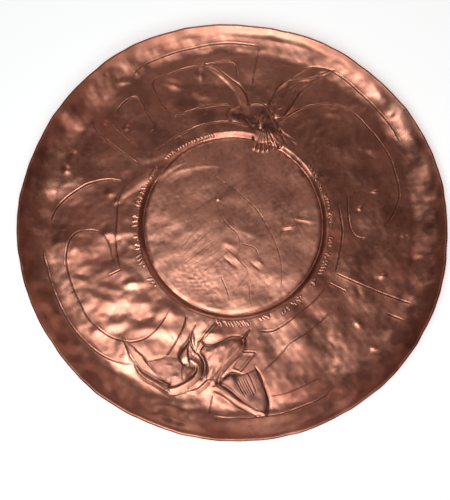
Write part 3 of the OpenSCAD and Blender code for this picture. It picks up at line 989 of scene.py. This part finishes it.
def copperMaterial(name, finish, hasTarnishAndShade):
    material = bpy.data.materials.new(name)
    material.use_nodes = True
    tree = material.node_tree
    link = linker(tree)
    shader = tree.nodes["Principled BSDF"]
    shader.inputs["Metallic"].default_value = 1.0
    patina = addNode(tree, "ShaderNodeGroup", (-900, 200), node_tree=patinaTree)
    rubbed = addNode(tree, "ShaderNodeGroup", (-900, -300), node_tree=grainTree)
    for node, socket, value in ((patina, "Scale", copper["cloudScale"]), (patina, "Film", finish["film"]),
                                (patina, "Polish", finish["polish"]), (rubbed, "Grain", finish["grain"]),
                                (rubbed, "Scratches", finish["scratches"])):
        node.inputs[socket].default_value = value
    colour = addNode(tree, "ShaderNodeMix", (-600, 300), data_type="RGBA")
    colour.inputs["A"].default_value = (*copper["clean"], 1)
    colour.inputs["B"].default_value = (*copper["brown"], 1)
    link(patina, "Brown Mask", colour, "Factor")
    if hasTarnishAndShade:
        # rubbed mask: wear, and painted light on the top of the flange
        wearAndPaintedLight = addNode(tree, "ShaderNodeAttribute", (-1150, 200), attribute_name="rubbed")
        # tarnish mask: patina in hollows, and painted shade on the birds and the rim
        tarnishAndShadeMask = addNode(tree, "ShaderNodeAttribute", (-600, 0), attribute_name="tarnishAndShade")
        dark = addNode(tree, "ShaderNodeMix", (-300, 300), data_type="RGBA")
        dark.inputs["B"].default_value = (*copper["tarnishAndShade"], 1)
        link(wearAndPaintedLight, "Fac", patina, "Rubbed")
        link(tarnishAndShadeMask, "Fac", dark, "Factor")
        link(colour, "Result", dark, "A")
        colour = dark
    link(colour, "Result", shader, "Base Color")
    link(patina, "Roughness", shader, "Roughness")
    bumps = addNode(tree, "ShaderNodeBump", (-300, -300))
    bumps.inputs["Strength"].default_value = 1.0
    bumps.inputs["Distance"].default_value = copper["bumpDistance"]
    link(rubbed, "Height", bumps, "Height")
    link(bumps, "Normal", shader, "Normal")
    return material


patinaTree, grainTree = patinaGroup(), grainGroup()
sheetPiece.data.materials.append(copperMaterial("hammeredCopper", copper["sheet"], True))
edgeWire.data.materials.append(copperMaterial("wireCopper", copper["wire"], False))
print("copper done")

pieces = [(sheetPiece, "hammered_sheet", "hammered_copper"), (edgeWire, "edge_wire", "wire_copper")]
for piece, node, slot in pieces:
    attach(piece, "root")
    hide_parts(node)

# floor, light and camera
studio = {
    "floorSize": 40.0, "floorTone": (0.94, 0.86, 0.83),
    "floorGlow": 0.66, "glowTone": (0.92, 0.90, 0.89),
    "airAbove": 0.052, "airBelow": 0.40, "airTone": (1.0, 0.62, 0.55),
    "backdrop": 0.95, "backdropTone": (0.97, 0.97, 0.96),
    # name, azimuth and elevation in degrees, distance, width, height, power, colour
    "lights": [
        ("keyPanel", 241, 73, 0.80, 0.30, 0.30, 1.95, (0.76, 1.0, 1.08)),
        ("frontPanel", 270, 48, 1.30, 0.60, 0.50, 3.80, (0.78, 1.0, 1.06)),
        ("backPanel", 92, 45, 1.30, 0.60, 0.50, 1.05, (0.84, 1.0, 1.04)),
        ("sidePanel", 50, 35, 1.30, 0.50, 0.50, 0.35, (1.0, 0.96, 0.94)),
        ("rightPanel", 315, 48, 1.30, 0.50, 0.50, 0.60, (1.0, 0.98, 0.96)),
    ],
    "cameraTilt": 12.0, "cameraDistance": 1.0, "lens": 71.4, "aim": (-0.008, -0.0236, -0.005),
}


def lookAt(piece, target):
    piece.rotation_euler = (Vector(target) - piece.location).to_track_quat("-Z", "Y").to_euler()


bpy.ops.mesh.primitive_plane_add(size=studio["floorSize"], location=(0, 0, 0))
floor = bpy.context.object
floor.name = "floor"
floorPaint = bpy.data.materials.new("palePaper")
floorPaint.use_nodes = True
paper = floorPaint.node_tree.nodes["Principled BSDF"]
paper.inputs["Base Color"].default_value = (*studio["floorTone"], 1)
paper.inputs["Roughness"].default_value = 0.9
paper.inputs["Emission Color"].default_value = (*studio["glowTone"], 1)
paper.inputs["Emission Strength"].default_value = studio["floorGlow"]
floor.data.materials.append(floorPaint)
floor.visible_glossy = False

for name, azimuth, elevation, distance, width, tall, power, colour in studio["lights"]:
    lamp = bpy.data.lights.new(name, "AREA")
    lamp.shape = "RECTANGLE"
    lamp.size, lamp.size_y, lamp.energy, lamp.color = width, tall, power, colour
    holder = bpy.data.objects.new(name, lamp)
    bpy.context.scene.collection.objects.link(holder)
    a, e = math.radians(azimuth), math.radians(elevation)
    out = distance * math.cos(e)
    holder.location = (out * math.cos(a), out * math.sin(a), distance * math.sin(e))
    lookAt(holder, (0, 0, 0))

# dim air overhead and brighter air near the horizon; the camera sees a plain pale backdrop instead
world = bpy.data.worlds.new("studioAir")
bpy.context.scene.world = world
world.use_nodes = True
tree = world.node_tree
air = tree.nodes["Background"]
air.inputs["Color"].default_value = (*studio["airTone"], 1)
link = linker(tree)
place = addNode(tree, "ShaderNodeTexCoord", (-800, -100))
split = addNode(tree, "ShaderNodeSeparateXYZ", (-600, -100))
upDown = addNode(tree, "ShaderNodeMapRange", (-400, -100), {
    "From Min": -0.05, "From Max": 0.25, "To Min": studio["airBelow"], "To Max": studio["airAbove"]})
seen = addNode(tree, "ShaderNodeBackground", (0, -200), {
    "Color": (*studio["backdropTone"], 1), "Strength": studio["backdrop"]})
rays = addNode(tree, "ShaderNodeLightPath", (-200, 200))
mixAir = addNode(tree, "ShaderNodeMixShader", (200, 0))
link(place, "Generated", split, "Vector")
link(split, "Z", upDown, "Value")
link(upDown, "Result", air, "Strength")
link(rays, "Is Camera Ray", mixAir, "Fac")
link(air, "Background", mixAir, 1)
link(seen, "Background", mixAir, 2)
link(mixAir, "Shader", tree.nodes["World Output"], "Surface")
bpy.context.scene.view_settings.view_transform = "Standard"

lens = bpy.data.cameras.new("trayCamera")
lens.lens = studio["lens"]
lens.sensor_width = 36
camera = bpy.data.objects.new("trayCamera", lens)
bpy.context.scene.collection.objects.link(camera)
tilt = math.radians(studio["cameraTilt"])
away = studio["cameraDistance"]
camera.location = (0, -away * math.sin(tilt), away * math.cos(tilt))
lookAt(camera, studio["aim"])
bpy.context.scene.camera = camera
print("studio done")
